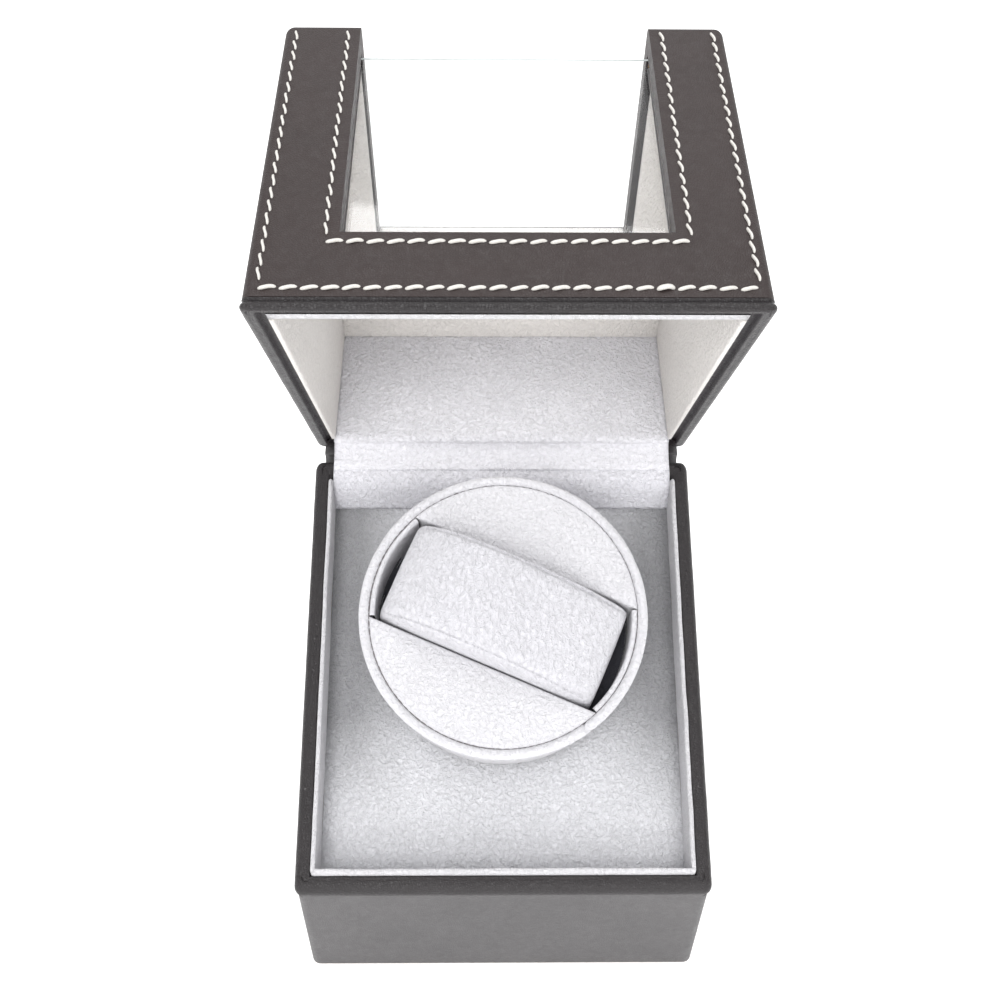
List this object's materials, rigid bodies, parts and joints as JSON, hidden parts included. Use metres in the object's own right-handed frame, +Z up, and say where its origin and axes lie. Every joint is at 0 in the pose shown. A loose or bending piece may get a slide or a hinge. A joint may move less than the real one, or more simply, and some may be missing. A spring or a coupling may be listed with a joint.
{
  "type": "watch winder box",
  "caption": "Leather-covered single watch winder box with a hinged windowed lid, a slanted suede deck and a motor-driven drum holding one watch cushion.",
  "frame": {"origin": "centre of the base's footprint, on the plane the felt pad stands on", "axes": "+Z up, +Y towards the hinged back, +X to the right seen from the front; stored with the lid open"},
  "size_m": [0.1108, 0.1641, 0.2137],
  "materials": {
    "acrylic": "clear polished",
    "black_plastic": "moulded",
    "board_green": "solder mask",
    "brass": "plain",
    "cushion": "suede nap",
    "felt": "pressed felt",
    "foam": "closed-cell foam",
    "leather": "grained satin",
    "mdf": "matt",
    "rim_leather": "smooth satin",
    "steel": "zinc plated",
    "suede": "suede nap",
    "suede_warm": "suede nap",
    "thread": "waxed thread",
    "white_plastic": "moulded",
    "wire": "pvc insulation"
  },
  "bodies": {
    "base": {"base_front_board": "mdf", "base_back_board": "mdf", "base_side_boards": "mdf", "base_wrap": "leather", "base_rim": "rim_leather", "base_liner": "suede", "deck_board": "mdf", "deck_suede": "suede", "deck_cleats": "mdf", "bottom_panel": "mdf", "bottom_screws": "steel", "base_pad": "felt", "gearbox_case": "white_plastic", "gearbox_cover": "white_plastic", "gearbox_screws": "steel", "gear_post": "steel", "spindle_bush": "brass", "motor_can": "steel", "dc_jack": "black_plastic", "jack_nut": "steel", "switch_body": "black_plastic", "pcb": "board_green", "pcb_parts": "black_plastic", "pcb_standoffs": "white_plastic", "wires": "wire", "hinge_base_leaf": "brass", "hinge_pin": "steel", "hinge_base_screws": "steel", "spine_base": "leather", "hinge_strip": "suede"},
    "lid": {"lid_front_frame": "mdf", "lid_top_frame": "mdf", "lid_side_boards": "mdf", "lid_rear_board": "mdf", "lid_wrap": "leather", "lid_rim": "rim_leather", "lid_window": "acrylic", "lid_front_liner": "suede_warm", "lid_top_liner": "suede_warm", "lid_side_liners": "suede_warm", "lid_rear_liner": "suede", "hinge_lid_leaf": "brass", "hinge_lid_screws": "steel", "spine_lid": "leather", "lid_stitches": "thread"},
    "drum": {"spindle": "steel", "output_gear": "white_plastic", "drum_base": "black_plastic", "drum_screw": "steel", "drum_wall": "suede", "drum_core": "foam", "slot_lining": "suede", "drum_ring": "suede", "drum_face": "suede"},
    "idler": {"idler_gear": "white_plastic"},
    "rotor": {"motor_shaft": "steel", "motor_pinion": "brass"},
    "cushion": {"pillow_cover": "cushion", "pillow_core": "foam"},
    "rocker": {"switch_rocker": "black_plastic"}
  },
  "joints": [
    {"name": "lid_hinge", "type": "hinge", "parent": "base", "child": "lid", "pos_m": [0, 0.0576, 0.0944], "axis": [-1, 0, 0], "range_deg": [-80.84, 9.16], "deforming": ["hinge_strip"]},
    {"name": "drum_spin", "type": "hinge", "parent": "base", "child": "drum", "pos_m": [0, 0.013, 0.068], "axis": [0, -0.4462, 0.8949], "continuous": true},
    {"name": "idler_spin", "type": "hinge", "parent": "base", "child": "idler", "pos_m": [0.01935, 0.013, 0.068], "axis": [0, -0.4462, 0.8949], "continuous": true},
    {"name": "motor_spin", "type": "hinge", "parent": "base", "child": "rotor", "pos_m": [0.00845, 0.00138, 0.06221], "axis": [0, -0.4462, 0.8949], "continuous": true},
    {"name": "cushion_slide", "type": "slide", "parent": "drum", "child": "cushion", "axis": [0, -0.4462, 0.8949], "range_m": [0, 0.024]},
    {"name": "rocker_press", "type": "hinge", "parent": "base", "child": "rocker", "pos_m": [-0.024, 0.054, 0.024], "axis": [1, 0, 0], "range_deg": [0, 16]}
  ],
  "couplings": [
    {"joint": "idler_spin", "follows": "drum_spin", "ratio": -3},
    {"joint": "motor_spin", "follows": "drum_spin", "ratio": 7.5}
  ]
}
